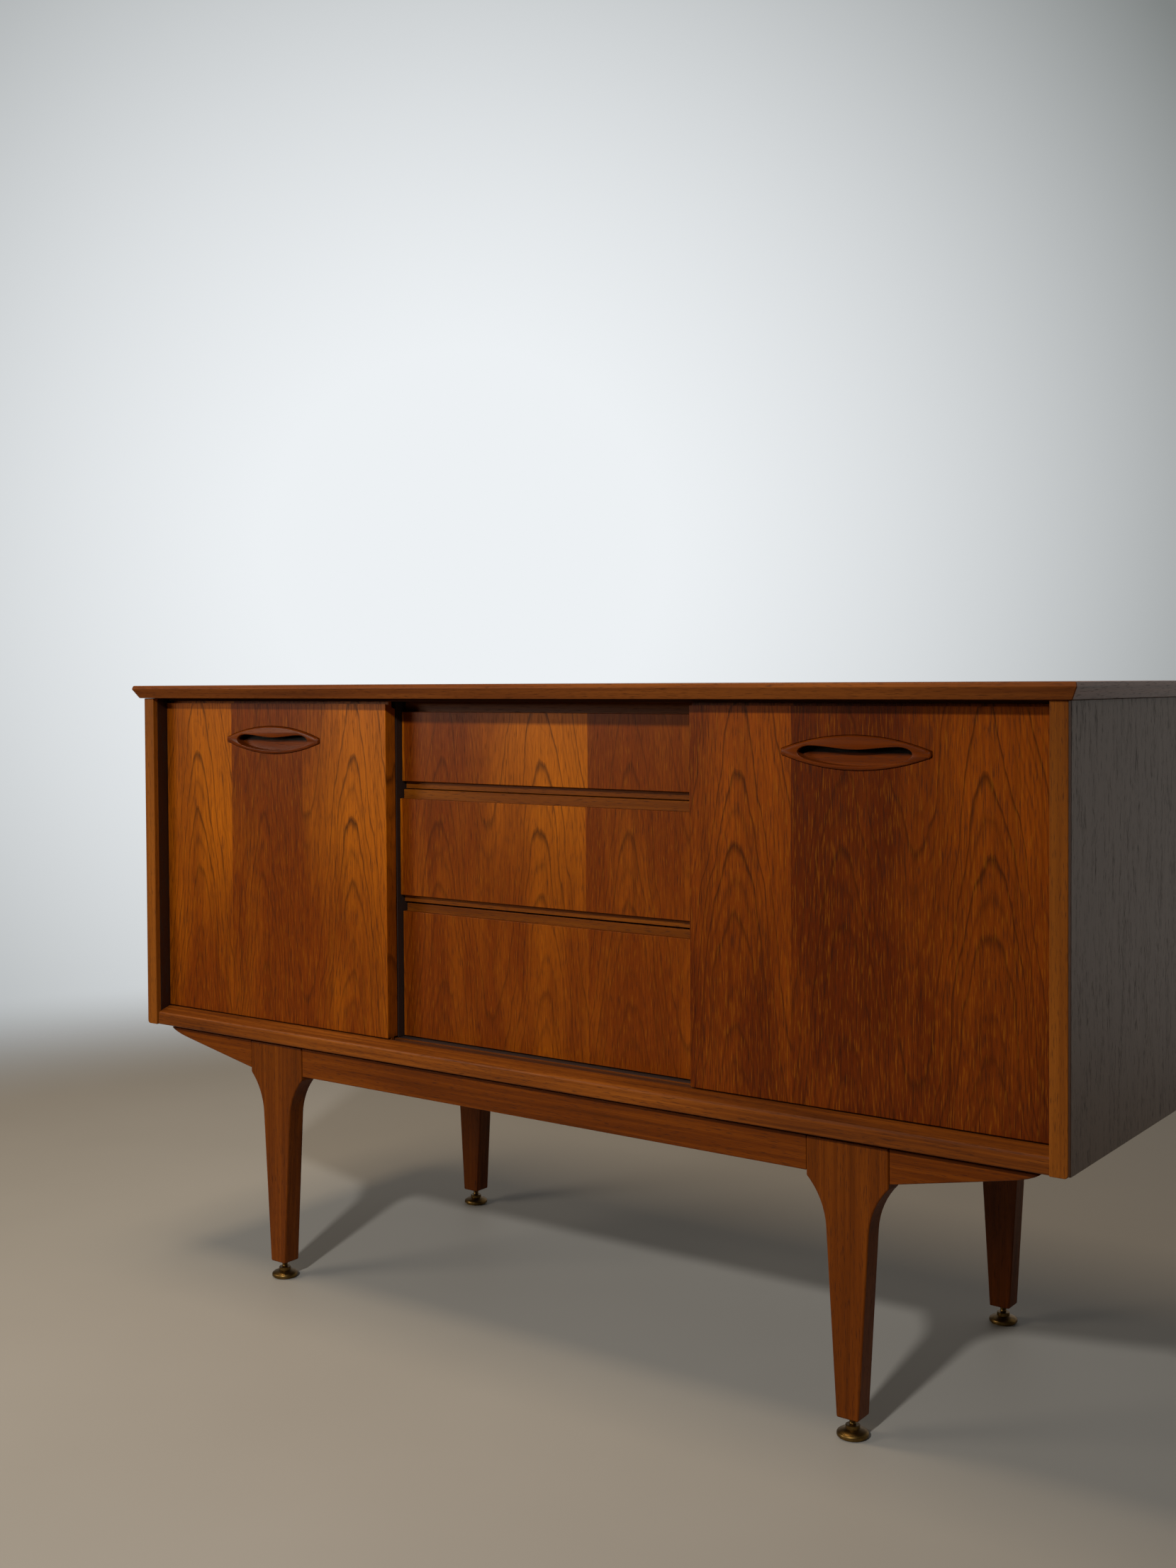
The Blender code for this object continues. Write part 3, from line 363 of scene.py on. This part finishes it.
def flamed(name, across, along, joint, lean, fade, colours, lines=1.0):
    """Flat-cut teak veneer in slip-matched leaves, with nested arches up each figure.

    across and along are the axes of the leaves' width and of the grain. joint is where
    one leaf starts. lean is how fast the rings taper, and a leaf's glow fades out between
    the two places in fade: on the doors and drawer faces this is painted shade, darker
    towards the foot, and on the top it darkens the left end. colours are the shaded wood,
    the bright wood and the late wood, and lines is how strongly the late wood shows.
    """
    shaded, bright, line_colour = colours
    made = bpy.data.materials.new(name)
    made.use_nodes = True
    tree = made.node_tree
    shader = tree.nodes["Principled BSDF"]
    point = wire(tree, "TexCoord", {}).outputs["Object"]
    axes = wire(tree, "SeparateXYZ", {"Vector": point})
    over = axes.outputs["XYZ".index(across)]
    up = axes.outputs["XYZ".index(along)]
    # place within the leaf, with the rings wavering some 7 mm over a hand's length
    shifted = wire(tree, "Math", {0: over, 1: joint}, operation="SUBTRACT")
    place = wire(tree, "Math", {0: shifted, 1: LEAF}, operation="FLOORED_MODULO")
    slow = wire(tree, "TexNoise", {
        "Vector": stretched(tree, point, along, 14, 5.5), "Scale": 1.0, "Detail": 3.0,
    })
    wavered = wire(tree, "MapRange", {
        "Value": slow, "From Min": 0.3, "From Max": 0.7, "To Min": -WAVER, "To Max": WAVER,
    }, clamp=False)
    within = wire(tree, "Math", {0: place, 1: wavered}, operation="ADD")
    # the rings' height across the leaf, a wave with its troughs at the figures
    turn = wire(tree, "Math", {
        0: within, 1: 2 * math.pi / ARCHES, 2: -2 * math.pi * ARCH_AT / ARCHES,
    }, operation="MULTIPLY_ADD")
    wave = wire(tree, "Math", {0: turn}, operation="COSINE")
    bowed = wire(tree, "Math", {
        0: wave, 1: -ARCH_RISE / 2, 2: ARCH_RISE / 2,
    }, operation="MULTIPLY_ADD")
    depth = wire(tree, "Math", {0: up, 1: lean, 2: bowed}, operation="MULTIPLY_ADD")
    # even rings, each with its own strength, dark at its late side
    jitter = wire(tree, "TexNoise", {
        "Vector": stretched(tree, point, along, 130, 7), "Scale": 1.0, "Detail": 4.0,
    })
    nudged = wire(tree, "Math", {0: jitter, 1: RING_WANDER, 2: depth}, operation="MULTIPLY_ADD")
    counted = wire(tree, "Math", {0: nudged, 1: RING}, operation="DIVIDE")
    ring = wire(tree, "Math", {0: counted}, operation="FLOOR")
    grown = wire(tree, "Math", {0: counted}, operation="FRACT")
    strength = wire(tree, "TexWhiteNoise", {"W": ring}, noise_dimensions="1D")
    late = wire(tree, "ValToRGB", {"Fac": grown})
    profile = late.color_ramp
    profile.elements[0].position = 0.0
    profile.elements[0].color = (0.25, 0.25, 0.25, 1)
    profile.elements[1].position = 1.0
    profile.elements[1].color = (0.35, 0.35, 0.35, 1)
    profile.elements.new(0.16).color = (0.0, 0.0, 0.0, 1)
    profile.elements.new(0.60).color = (0.12, 0.12, 0.12, 1)
    profile.elements.new(0.86).color = (1.0, 1.0, 1.0, 1)
    # each leaf is darker at its left and glows before its right joint
    glow = wire(tree, "MapRange", {
        "Value": within, "From Min": 0.10, "From Max": 0.245,
    }, interpolation_type="SMOOTHSTEP")
    cloud = wire(tree, "TexNoise", {
        "Vector": stretched(tree, point, along, 22, 4.5), "Scale": 1.0, "Detail": 3.0,
    })
    clouded = wire(tree, "MapRange", {
        "Value": cloud, "From Min": 0.35, "From Max": 0.65, "To Min": -0.24, "To Max": 0.24,
    })
    # painted shade: the glow is strongest far along the grain and is painted down before fade,
    # darkening the fronts towards the foot; on the top the same ramp darkens the left end
    height = wire(tree, "MapRange", {
        "Value": up, "From Min": fade[0], "From Max": fade[1], "To Min": 0.28, "To Max": 1.0,
    }, interpolation_type="SMOOTHSTEP")
    lit = wire(tree, "Math", {0: glow, 1: height}, operation="MULTIPLY")
    tone = wire(tree, "Math", {0: lit, 1: clouded}, operation="ADD", use_clamp=True)
    ground = wire(tree, "Mix", {
        "Factor": tone, 6: linear(shaded), 7: linear(bright),
    }, data_type="RGBA")
    # fibre about 3 mm wide
    fibre = wire(tree, "TexNoise", {
        "Vector": stretched(tree, point, along, 330, 6.0),
        "Scale": 1.0, "Detail": 4.0, "Roughness": 0.65,
    })
    value = wire(tree, "MapRange", {
        "Value": fibre, "From Min": 0.3, "From Max": 0.7, "To Min": 0.78, "To Max": 1.20,
    })
    combed = wire(tree, "HueSaturation", {"Value": value, "Color": ground.outputs[2]})
    # the late wood shows most in the bright part of a leaf
    seen = wire(tree, "MapRange", {
        "Value": tone, "To Min": 0.45 * lines, "To Max": 0.85 * lines,
    })
    strong = wire(tree, "Math", {0: strength, 1: seen}, operation="MULTIPLY")
    inked = wire(tree, "Math", {0: late, 1: strong}, operation="MULTIPLY")
    ringed = wire(tree, "Mix", {
        "Factor": inked, 6: combed, 7: linear(line_colour),
    }, data_type="RGBA")
    # pores, drawn 1.1 mm wide and 18 mm long so that they show: most dark, some pale
    pore = wire(tree, "TexNoise", {
        "Vector": stretched(tree, point, along, 900, 55), "Scale": 1.0, "Detail": 1.0,
    })
    pit = wire(tree, "MapRange", {
        "Value": pore, "From Min": 0.57, "From Max": 0.70, "To Min": 0.0, "To Max": 0.5,
    })
    fleck = wire(tree, "MapRange", {
        "Value": pore, "From Min": 0.42, "From Max": 0.30, "To Min": 0.0, "To Max": 0.22,
    })
    pored = wire(tree, "Mix", {
        "Factor": pit, 6: ringed.outputs[2], 7: linear(line_colour),
    }, data_type="RGBA")
    flecked = wire(tree, "Mix", {
        "Factor": fleck, 6: pored.outputs[2], 7: linear("#a8660e"),
    }, data_type="RGBA")
    tree.links.new(flecked.outputs[2], shader.inputs["Base Color"])
    rough = wire(tree, "MapRange", {"Value": pit, "To Min": 0.36, "To Max": 0.62})
    tree.links.new(rough.outputs[0], shader.inputs["Roughness"])
    relief = wire(tree, "Bump", {
        "Strength": 0.3, "Distance": 0.0002, "Height": pit,
    }, invert=True)
    tree.links.new(relief.outputs[0], shader.inputs["Normal"])
    shader.inputs["IOR"].default_value = 1.5
    shader.inputs["Specular IOR Level"].default_value = 0.1
    return made


top_veneer = flamed(
    "top_teak_veneer_lengthwise", "Y", "X", -0.31, 0.012, (-0.9, 0.4),
    ("#6a2f0a", "#8f4811", "#2f1204"), 0.7)
edging_teak = solid_teak("edging_teak_lengthwise", "X", "#582b0e", "#6e3912", "#844918")
end_edging_teak = solid_teak(
    "edging_teak_endwise", "Y", "#582b0e", "#6e3912", "#844918", 0.36, 0.6)
dress("top_board", top_veneer, 0.0003, 1)
dress("top_edge_front", edging_teak, 0.0008, 3)
for side in ("left", "right"):
    dress(f"top_edge_{side}", end_edging_teak, 0.0008, 3)


# ---------------------------------------------------------------- door tracks
# Brown vulcanised fibre channels: one hangs a little way out of the top, and the other
# lies flush in the sill. Their surface is matt, with faint rubbing lines from the doors.
fibre = bpy.data.materials.new("brown_vulcanised_fibre")
fibre.use_nodes = True
tree = fibre.node_tree
point = wire(tree, "TexCoord", {}).outputs["Object"]
rubbed = wire(tree, "TexNoise", {
    "Vector": stretched(tree, point, "X", 900, 9), "Scale": 1.0, "Detail": 3.0,
})
worn = wire(tree, "Mix", {
    "Factor": rubbed, 6: linear("#3a1c0c"), 7: linear("#4f2a13"),
}, data_type="RGBA")
shader = tree.nodes["Principled BSDF"]
tree.links.new(worn.outputs[2], shader.inputs["Base Color"])
shader.inputs["Roughness"].default_value = 0.8
shader.inputs["Specular IOR Level"].default_value = 0.1
for level in ("upper", "lower"):
    dress(f"{level}_track", fibre, 0.0002, 1)


# ---------------------------------------------------------------- the sliding doors
# Boards veneered in teak with the grain upright, cut with the drawer faces from one run of
# leaves. The right door's veneer is painted darker, as painted shade further from the window.
# A tongue along the top and one along the foot run in the tracks.
front_veneer = flamed(
    "front_teak_veneer_upright", "X", "Z", -0.8131, 0.055, (0.42, 0.74),
    ("#6c2e03", "#a65806", "#240f02"))
# painted shade: the right door's copy of the veneer, darker for its place further from the window
painted_shade_door_veneer = flamed(
    "painted_shade_teak_veneer_upright", "X", "Z", -0.8131, 0.055, (0.42, 0.74),
    ("#562002", "#863e03", "#1c0a01"))
dress("door_left", front_veneer, 0.0007, 2)
dress("door_right", painted_shade_door_veneer, 0.0007, 2)


# ---------------------------------------------------------------- the finger pulls
# Solid teak eyes let into the doors, standing just proud, with a rounded rim. A scooped
# recess has a sagging upper lip, an undercut behind it for the fingers, and a coved floor.
EYE_LENGTH = 0.176
EYE_HEIGHT = 0.037
EYE_POINT = 0.0080      # how much further each end would run to its point
EYE_TIP_ROUND = 0.0025
EYE_RIM = 0.0026
MOUTH_HALF = 0.067
MOUTH_FOOT = 0.0138     # the eye's middle down to the recess's lower edge
MOUTH_FOOT_RISE = 0.0085
MOUTH_SAG = 0.0036      # the lip above the eye's middle, where it sags
MOUTH_CREST = 0.0070
CREST_AT = 0.77         # as a share of the half length
MOUTH_DEPTH = 0.0124
MOUTH_COVE = 0.0032
MOUTH_EASE = 0.0007
LIP = 0.0046            # wood in front of the undercut
UNDERCUT_HALF = 0.056
UNDERCUT_RISE = 0.0095  # half its height
UNDERCUT_SHORT = 0.0006         # how much shallower it is than the recess
FOOT_FULLNESS = 14      # the higher, the squarer the recess's lower corners
COLUMNS = 64
CUT_PAST = 0.002        # how far a cutter stands out past what it cuts
NEAR = 0.00001          # points nearer than this count as one place

pull_teak = solid_teak(
    "pull_teak_lengthwise", "X", "#4e1f04", "#622a06", "#76380a", 0.30, 0.12)


def pick_edges(piece, wanted):
    """Leaves the piece in edit mode with only the wanted edges selected.

    wanted is asked about each edge's two ends and its key.
    """
    bpy.ops.object.select_all(action="DESELECT")
    piece.select_set(True)
    bpy.context.view_layer.objects.active = piece
    bpy.ops.object.mode_set(mode="EDIT")
    bpy.ops.mesh.select_mode(type="EDGE")
    bpy.ops.mesh.select_all(action="DESELECT")
    bpy.ops.object.mode_set(mode="OBJECT")
    corners = piece.data.vertices
    for edge in piece.data.edges:
        a, b = (corners[i].co for i in edge.vertices)
        edge.select = bool(wanted(a, b, edge.key))
    bpy.ops.object.mode_set(mode="EDIT")


def move_points(piece, wanted, step):
    """Moves only the points that are wanted."""
    bpy.ops.object.mode_set(mode="EDIT")
    bpy.ops.mesh.select_mode(type="VERT")
    bpy.ops.mesh.select_all(action="DESELECT")
    bpy.ops.object.mode_set(mode="OBJECT")
    for corner in piece.data.vertices:
        corner.select = bool(wanted(corner.co))
    bpy.ops.object.mode_set(mode="EDIT")
    bpy.ops.transform.translate(value=step)
    bpy.ops.object.mode_set(mode="OBJECT")


def combine(piece, other, operation):
    """Cuts or intersects a piece with another, which is then thrown away."""
    step = piece.modifiers.new("combine", "BOOLEAN")
    step.operation = operation
    step.solver = "EXACT"
    step.object = other
    bpy.ops.object.select_all(action="DESELECT")
    piece.select_set(True)
    bpy.context.view_layer.objects.active = piece
    bpy.ops.object.modifier_apply(modifier="combine")
    bpy.data.objects.remove(other)


def add_block(x0, x1, y0, y1, z0, z1):
    """A box primitive between two corners, its place in its mesh."""
    bpy.ops.object.select_all(action="DESELECT")
    bpy.ops.mesh.primitive_cube_add(
        size=1, location=((x0 + x1) / 2, (y0 + y1) / 2, (z0 + z1) / 2),
        scale=(x1 - x0, y1 - y0, z1 - z0))
    made = bpy.context.object
    bpy.ops.object.transform_apply(location=True, rotation=True, scale=True)
    return made


def copied(piece, name, shift):
    """The same piece again with its own mesh, moved along by a shift."""
    again = piece.copy()
    again.data = piece.data.copy()
    again.name = name
    again.data.transform(Matrix.Translation(shift))
    bpy.context.scene.collection.objects.link(again)
    return again


low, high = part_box("handle_left")
middle = (low + high) / 2
front = low.y
half = EYE_LENGTH / 2
rise = EYE_HEIGHT / 2
radius = ((half + EYE_POINT) ** 2 + rise**2) / (2 * rise)
discs = []
for side in (-1, 1):
    bpy.ops.object.select_all(action="DESELECT")
    bpy.ops.mesh.primitive_cylinder_add(
        vertices=480, radius=radius, depth=high.y - low.y,
        location=(middle.x, middle.y, middle.z + side * (radius - rise)),
        rotation=(math.pi / 2, 0, 0))
    discs.append(bpy.context.object)
    bpy.ops.object.transform_apply(location=True, rotation=True, scale=True)
pull, other = discs
combine(pull, other, "INTERSECT")
pull.name = "finger_pull_left"
# the two points are cut off square, the stumps rounded, and then the front rim
trimmer = add_block(
    middle.x - half, middle.x + half,
    low.y - CUT_PAST, high.y + CUT_PAST, low.z - CUT_PAST, high.z + CUT_PAST)
combine(pull, trimmer, "INTERSECT")


def at_tip(point):
    return abs(abs(point.x - middle.x) - half) < NEAR


pick_edges(pull, lambda a, b, key: at_tip(a) and at_tip(b) and abs(a.y - b.y) > EYE_RIM)
bpy.ops.mesh.bevel(offset=EYE_TIP_ROUND, segments=6, profile=0.5)
bpy.ops.object.mode_set(mode="OBJECT")
pick_edges(pull, lambda a, b, key: max(a.y, b.y) < front + NEAR)
bpy.ops.mesh.bevel(offset=EYE_RIM, segments=6, profile=0.5)
bpy.ops.object.mode_set(mode="OBJECT")

# the scoop is a box cut into columns, whose ends are moved to the recess's outline
foot = middle.z - MOUTH_FOOT
head = middle.z + MOUTH_CREST
scoop = add_block(
    middle.x - MOUTH_HALF, middle.x + MOUTH_HALF,
    front - CUT_PAST, front + MOUTH_DEPTH, foot, head)
pick_edges(scoop, lambda a, b, key: abs(a.x - b.x) > MOUTH_HALF)
bpy.ops.mesh.subdivide(number_cuts=COLUMNS - 1)
bpy.ops.object.mode_set(mode="OBJECT")
for column in sorted(range(COLUMNS + 1), key=lambda i: -abs(i - COLUMNS / 2)):
    t = 2 * column / COLUMNS - 1
    across = middle.x + MOUTH_HALF * t
    u = math.sin(math.pi / 2 * t)
    past = max(0.0, abs(u) - CREST_AT) / (1 - CREST_AT)
    wave = (1 - math.cos(math.pi * min(1, abs(u) / CREST_AT))) / 2
    crest = MOUTH_SAG + (MOUTH_CREST - MOUTH_SAG) * wave
    lip = crest * math.sqrt(max(0.0, 1 - past**2))
    bed = (MOUTH_FOOT_RISE * u**2 - MOUTH_FOOT) * math.sqrt(
        max(0.0, 1 - abs(u) ** FOOT_FULLNESS))
    out = MOUTH_HALF * (u - t)
    move_points(
        scoop, lambda p: abs(p.x - across) < NEAR and abs(p.z - head) < NEAR / 10,
        (out, 0, lip - MOUTH_CREST))
    move_points(
        scoop, lambda p: abs(p.x - across) < NEAR and abs(p.z - foot) < NEAR / 10,
        (out, 0, bed + MOUTH_FOOT))
bpy.ops.object.mode_set(mode="EDIT")
bpy.ops.mesh.select_all(action="SELECT")
bpy.ops.mesh.remove_doubles(threshold=0.00005)
bpy.ops.mesh.normals_make_consistent(inside=False)
bpy.ops.object.mode_set(mode="OBJECT")
bed_edges = [
    set(face.edge_keys) for face in scoop.data.polygons if face.normal.y > 0.9
]
walls = {
    key for face in scoop.data.polygons if abs(face.normal.y) < 0.1 for key in face.edge_keys
}
bed_rim = set().union(*bed_edges) & walls
pick_edges(scoop, lambda a, b, key: key in bed_rim)
bpy.ops.mesh.bevel(offset=MOUTH_COVE, segments=6, profile=0.5, clamp_overlap=True)
bpy.ops.object.mode_set(mode="OBJECT")
combine(pull, scoop, "DIFFERENCE")

# the undercut behind the upper lip, an oval pocket that the fingertips reach up into
bpy.ops.object.select_all(action="DESELECT")
bpy.ops.mesh.primitive_cylinder_add(
    vertices=96, radius=UNDERCUT_HALF, depth=MOUTH_DEPTH - LIP - UNDERCUT_SHORT,
    location=(middle.x, front + (MOUTH_DEPTH + LIP - UNDERCUT_SHORT) / 2, middle.z),
    rotation=(math.pi / 2, 0, 0))
undercut = bpy.context.object
bpy.ops.object.transform_apply(location=True, rotation=True, scale=True)
bpy.ops.object.mode_set(mode="EDIT")
bpy.ops.mesh.select_all(action="SELECT")
bpy.ops.transform.resize(
    value=(1, 1, UNDERCUT_RISE / UNDERCUT_HALF), center_override=middle)
bpy.ops.object.mode_set(mode="OBJECT")
combine(pull, undercut, "DIFFERENCE")
face_edges = {
    key for face in pull.data.polygons if face.normal.y < -0.99 for key in face.edge_keys
}
wall_edges = {
    key for face in pull.data.polygons if abs(face.normal.y) < 0.05
    for key in face.edge_keys
}
mouth_rim = face_edges & wall_edges
pick_edges(pull, lambda a, b, key: key in mouth_rim and max(a.y, b.y) < front + NEAR)
bpy.ops.mesh.bevel(offset=MOUTH_EASE, segments=3, profile=0.5)
bpy.ops.object.mode_set(mode="OBJECT")
bpy.ops.object.shade_smooth_by_angle(angle=math.radians(32))

# painted shade: behind the lip and above the eye's middle the wood is painted nearly black, for
# the shade in the undercut
tree = pull_teak.node_tree
shader = tree.nodes["Principled BSDF"]
finish = shader.inputs["Base Color"].links[0].from_socket
axes = wire(tree, "SeparateXYZ", {"Vector": wire(tree, "TexCoord", {}).outputs["Object"]})
behind = wire(tree, "Math", {0: axes.outputs["Y"], 1: front + LIP}, operation="GREATER_THAN")
above = wire(tree, "MapRange", {
    "Value": axes.outputs["Z"], "From Min": middle.z - 0.003, "From Max": middle.z + 0.0005,
})
painted_shade_mask = wire(tree, "Math", {0: behind, 1: above}, operation="MULTIPLY")
darkened = wire(tree, "Mix", {
    "Factor": painted_shade_mask, 6: finish, 7: linear("#090301"),
}, data_type="RGBA")
tree.links.new(darkened.outputs[2], shader.inputs["Base Color"])
pull.data.materials.clear()
pull.data.materials.append(pull_teak)
to_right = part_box("handle_right")[0] - low
pulls = {
    "left": pull,
    "right": copied(pull, "finger_pull_right", to_right),
}
for side, pull in pulls.items():
    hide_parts(f"handle_{side}")
    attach(pull, f"door_{side}_body")


# ---------------------------------------------------------------- the drawers
# Three drawers between the dividers. Thin veneered faces carry on the doors' leaves. They
# stand proud on taller front boards of solid teak, whose edges show in the finger gaps
# between the faces. The boxes behind are pale hardwood with plywood bottoms.
board_teak = solid_teak(
    "drawer_front_teak_lengthwise", "X", "#562806", "#6b3608", "#81470c")
drawer_side_wood = solid_teak(
    "ramin_drawer_wood_endwise", "Y", "#a98158", "#b98f63", "#c69d70", 0.55)
drawer_back_wood = solid_teak(
    "ramin_drawer_wood_lengthwise", "X", "#a98158", "#b98f63", "#c69d70", 0.55)
drawer_ply = open_pored(
    "birch_plywood_lengthwise", "X", "#9a6f45", "#a97c50", "#6f4a2b", 0.6)
for drawer in ("top", "middle", "bottom"):
    dress(f"drawer_{drawer}_face", front_veneer, 0.0007, 2)
    dress(f"drawer_{drawer}_front", board_teak, 0.0005)
    dress(f"drawer_{drawer}_back", drawer_back_wood, 0.0005)
    for side in ("left", "right"):
        dress(f"drawer_{drawer}_side_{side}", drawer_side_wood, 0.0005)
    dress(f"drawer_{drawer}_bottom", drawer_ply, 0.0002, 1)


# ---------------------------------------------------------------- drawer runners
# Hardwood strips screwed to the dividers under the top and middle drawers, with their
# edges eased. The lowest drawer runs on the bottom.
for level in ("top", "middle"):
    for side in ("left", "right"):
        dress(f"runner_{level}_{side}", drawer_side_wood, 0.0006)


# ---------------------------------------------------------------- the leg frame
# Two long rails of solid teak a little way under the bottom, and a cross rail from front
# to back between each pair of legs.
rail_teak = solid_teak("rail_teak_lengthwise", "X", "#482003", "#5e2b04", "#763b07")
cross_teak = solid_teak("rail_teak_endwise", "Y", "#482003", "#5e2b04", "#763b07")
for place in ("front", "back"):
    dress(f"frame_rail_{place}", rail_teak, 0.0010, 3)
for side in ("left", "right"):
    dress(f"frame_cross_rail_{side}", cross_teak, 0.0010, 3)


# ---------------------------------------------------------------- legs and brackets
# Upright solid teak legs, flared into the rails at the head and tapering to the foot. A
# bracket runs out from each head to a rounded nose under the end of the carcass.
leg_teak = solid_teak("leg_teak_upright", "Z", "#4d2303", "#622e04", "#763c08")
for place in ("front", "back"):
    for side in ("left", "right"):
        dress(f"leg_{place}_{side}", leg_teak, 0.0020, 4)
        dress(f"bracket_{place}_{side}", rail_teak, 0.0015, 3)


# ---------------------------------------------------------------- levelling glides
# Antiqued brass glides screwed up into the legs: a domed foot with a flat sole, a round
# collar, and an 8 mm threaded stem.
SOLE = 0.0152
SOLE_EDGE = 0.001       # height of the flat-sided sole that the rest is drawn up from
GLIDE_WIDEST = 0.0172
THREAD_TURNS = 14
THREAD_ROOT = 0.0034
THREAD_CREST = 0.0040
brass = bpy.data.materials.new("antiqued_brass_turned")
brass.use_nodes = True
tree = brass.node_tree
point = wire(tree, "TexCoord", {}).outputs["Object"]
# brown tarnish in patches some 8 mm across, brighter where it has been rubbed
patch = wire(tree, "TexNoise", {"Vector": point, "Scale": 120.0, "Detail": 4.0})
tarnished = wire(tree, "Mix", {
    "Factor": patch, 6: linear("#3f3018"), 7: linear("#8a6c3a"),
}, data_type="RGBA")
shader = tree.nodes["Principled BSDF"]
tree.links.new(tarnished.outputs[2], shader.inputs["Base Color"])
shader.inputs["Metallic"].default_value = 1.0
rough = wire(tree, "MapRange", {"Value": patch, "To Min": 0.5, "To Max": 0.3})
tree.links.new(rough.outputs[0], shader.inputs["Roughness"])

low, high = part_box("glide_front_left")
centre = (low + high) / 2
bpy.ops.object.select_all(action="DESELECT")
bpy.ops.mesh.primitive_cylinder_add(
    vertices=64, radius=SOLE, depth=SOLE_EDGE,
    location=(centre.x, centre.y, low.z + SOLE_EDGE / 2))
glide = bpy.context.object
bpy.ops.object.transform_apply(location=True, rotation=True, scale=True)
bpy.ops.object.mode_set(mode="EDIT")
bpy.ops.mesh.select_mode(type="FACE")
bpy.ops.mesh.select_all(action="DESELECT")
bpy.ops.object.mode_set(mode="OBJECT")
for face in glide.data.polygons:
    face.select = face.normal.z > 0.9
bpy.ops.object.mode_set(mode="EDIT")
# each ring of the turned outline: how far up from the last, and its radius
rings = [
    (0.0008, GLIDE_WIDEST), (0.0022, GLIDE_WIDEST), (0.0012, 0.0166), (0.0012, 0.0150),
    (0.0012, 0.0122), (0.0008, 0.0088), (0.0004, 0.0078), (0.0036, 0.0078),
    (0.0004, 0.0072), (0.0, THREAD_ROOT),
]
outline = sum(step for step, wide in rings)
pitch = (high.z - low.z - SOLE_EDGE - outline) / THREAD_TURNS
rings += [(pitch / 2, THREAD_CREST), (pitch / 2, THREAD_ROOT)] * THREAD_TURNS
level, radius = low.z + SOLE_EDGE, SOLE
for step, wide in rings:
    bpy.ops.mesh.extrude_region_move(TRANSFORM_OT_translate={"value": (0, 0, step)})
    level += step
    bpy.ops.transform.resize(
        value=(wide / radius, wide / radius, 1), center_override=(centre.x, centre.y, level))
    radius = wide
bpy.ops.object.mode_set(mode="OBJECT")
bpy.ops.object.shade_smooth_by_angle(angle=math.radians(32))
glide.data.materials.clear()
glide.data.materials.append(brass)
for place in ("front", "back"):
    for side in ("left", "right"):
        name = f"glide_{place}_{side}"
        again = copied(glide, f"levelling_{name}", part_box(name)[0] - low)
        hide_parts(name)
        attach(again, f"{name}_body")
bpy.data.objects.remove(glide)
